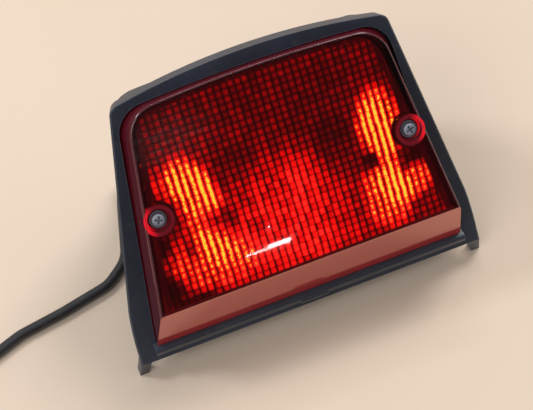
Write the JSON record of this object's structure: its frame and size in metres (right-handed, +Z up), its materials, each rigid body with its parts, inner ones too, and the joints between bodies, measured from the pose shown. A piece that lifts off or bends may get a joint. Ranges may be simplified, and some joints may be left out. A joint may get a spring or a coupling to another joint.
{
  "type": "motorcycle tail and brake lamp",
  "caption": "Raked trapezoid tail and brake lamp: fluted red lens with an upright lower wall in a black surround with feet, bulbs in rear bayonet sockets, sleeved cable.",
  "frame": {"origin": "centre of the four-stud pattern, on the upright rear face", "axes": "+Z up with the lamp standing on its feet, +Y out of the rear face towards the vehicle, +X to the right of someone looking at the lens"},
  "size_m": [0.3711, 0.128, 0.1407],
  "materials": {
    "black_moulding": "fine moulded grain, satin",
    "red_acrylic": "polished outside, fluted inside",
    "bright_metallising": "vacuum metallised",
    "black_foam": "closed-cell foam",
    "zinc_steel": "zinc plated",
    "brass": "machined",
    "socket_plastic": "moulded",
    "seal_rubber": "moulded rubber",
    "bulb_glass": "clear",
    "cap_brass": "stamped",
    "tungsten": "drawn wire",
    "brown_board": "phenolic",
    "spring_steel": "drawn",
    "pvc_sleeve": "soft sheen PVC",
    "wire_insulation": "PVC",
    "connector_nylon": "natural nylon",
    "tin_plate": "tin plated"
  },
  "bodies": {
    "housing": {"rear_housing": "black_moulding", "rear_studs": "zinc_steel", "post_insert_left": "brass", "post_insert_right": "brass", "reflector": "bright_metallising", "lens_gasket": "black_foam", "sill_seal": "black_foam", "branch_lead_left": "pvc_sleeve", "branch_lead_right": "pvc_sleeve", "lead_junction": "pvc_sleeve", "cable_sleeve": "pvc_sleeve", "connector_wires": "wire_insulation", "connector_housing": "connector_nylon", "connector_terminals": "tin_plate"},
    "lens": {"lens": "red_acrylic"},
    "screw_carrier_left": {"screw_washer_left": "zinc_steel"},
    "screw_left": {"lens_screw_left": "zinc_steel"},
    "socket_left": {"socket_body_left": "socket_plastic", "socket_seal_left": "seal_rubber", "bulb_holder_left": "spring_steel", "socket_boot_left": "seal_rubber"},
    "bulb_left": {"bulb_cap_left": "cap_brass", "bulb_glass_left": "bulb_glass", "filament_left": "tungsten"},
    "contact_left": {"contact_plate_left": "brown_board", "contact_spring_left": "spring_steel"},
    "screw_carrier_right": {"screw_washer_right": "zinc_steel"},
    "screw_right": {"lens_screw_right": "zinc_steel"},
    "socket_right": {"socket_body_right": "socket_plastic", "socket_seal_right": "seal_rubber", "bulb_holder_right": "spring_steel", "socket_boot_right": "seal_rubber"},
    "bulb_right": {"bulb_cap_right": "cap_brass", "bulb_glass_right": "bulb_glass", "filament_right": "tungsten"},
    "contact_right": {"contact_plate_right": "brown_board", "contact_spring_right": "spring_steel"}
  },
  "joints": [
    {"name": "lens_lift", "type": "slide", "parent": "housing", "child": "lens", "axis": [0, -0.6428, 0.766], "range_m": [0, 0.04]},
    {"name": "screw_rise_left", "type": "slide", "parent": "lens", "child": "screw_carrier_left", "axis": [0, -0.6428, 0.766], "range_m": [0, 0.007]},
    {"name": "screw_turn_left", "type": "hinge", "parent": "screw_carrier_left", "child": "screw_left", "pos_m": [-0.074, -0.06504, 0.03517], "axis": [0, -0.6428, 0.766], "range_deg": [0, 3601]},
    {"name": "socket_turn_left", "type": "hinge", "parent": "housing", "child": "socket_left", "pos_m": [-0.046, -0.022, 0.003], "axis": [0, 1, 0], "range_deg": [0, 40]},
    {"name": "bulb_press_left", "type": "slide", "parent": "socket_left", "child": "bulb_left", "axis": [0, 1, 0], "range_m": [0, 0.0015]},
    {"name": "contact_press_left", "type": "slide", "parent": "socket_left", "child": "contact_left", "axis": [0, 1, 0], "range_m": [0, 0.00151]},
    {"name": "screw_rise_right", "type": "slide", "parent": "lens", "child": "screw_carrier_right", "axis": [0, -0.6428, 0.766], "range_m": [0, 0.007]},
    {"name": "screw_turn_right", "type": "hinge", "parent": "screw_carrier_right", "child": "screw_right", "pos_m": [0.074, -0.06504, 0.03517], "axis": [0, -0.6428, 0.766], "range_deg": [0, 3601]},
    {"name": "socket_turn_right", "type": "hinge", "parent": "housing", "child": "socket_right", "pos_m": [0.046, -0.022, 0.003], "axis": [0, 1, 0], "range_deg": [0, 40]},
    {"name": "bulb_press_right", "type": "slide", "parent": "socket_right", "child": "bulb_right", "axis": [0, 1, 0], "range_m": [0, 0.0015]},
    {"name": "contact_press_right", "type": "slide", "parent": "socket_right", "child": "contact_right", "axis": [0, 1, 0], "range_m": [0, 0.00151]}
  ],
  "couplings": [
    {"joint": "screw_turn_left", "follows": "screw_rise_left", "rad_per_m": 8976},
    {"joint": "contact_press_left", "follows": "bulb_press_left", "ratio": 1},
    {"joint": "screw_turn_right", "follows": "screw_rise_right", "rad_per_m": 8976},
    {"joint": "contact_press_right", "follows": "bulb_press_right", "ratio": 1}
  ]
}
